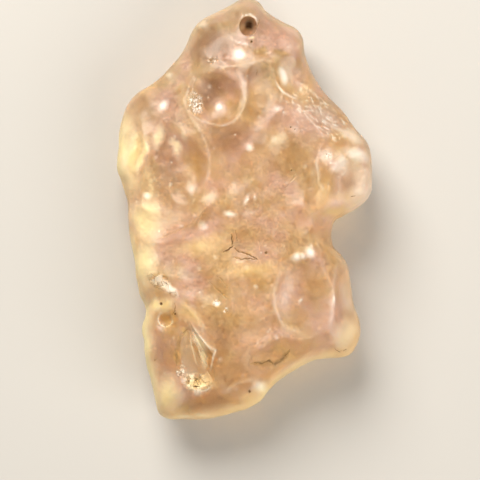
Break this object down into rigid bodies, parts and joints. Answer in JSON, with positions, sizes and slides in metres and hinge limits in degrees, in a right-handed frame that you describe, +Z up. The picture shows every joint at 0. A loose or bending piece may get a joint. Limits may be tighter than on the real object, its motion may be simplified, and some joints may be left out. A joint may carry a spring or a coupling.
{
  "type": "raw libyan desert glass",
  "caption": "Natural piece of pale yellow desert glass: a worn, scooped and pitted slab with a narrow head, lying on its back.",
  "frame": {"origin": "on the resting plane, under the middle of the object's box", "axes": "+Z up through the front face, +Y along the length towards the narrow head, +X across the width to the right as the front is seen"},
  "size_m": [0.0255, 0.0421, 0.0116],
  "materials": {
    "desert_glass": "sand-worn satin, pale honey yellow, see-through"
  },
  "bodies": {
    "root": {"desert_glass": "desert_glass"}
  },
  "joints": []
}
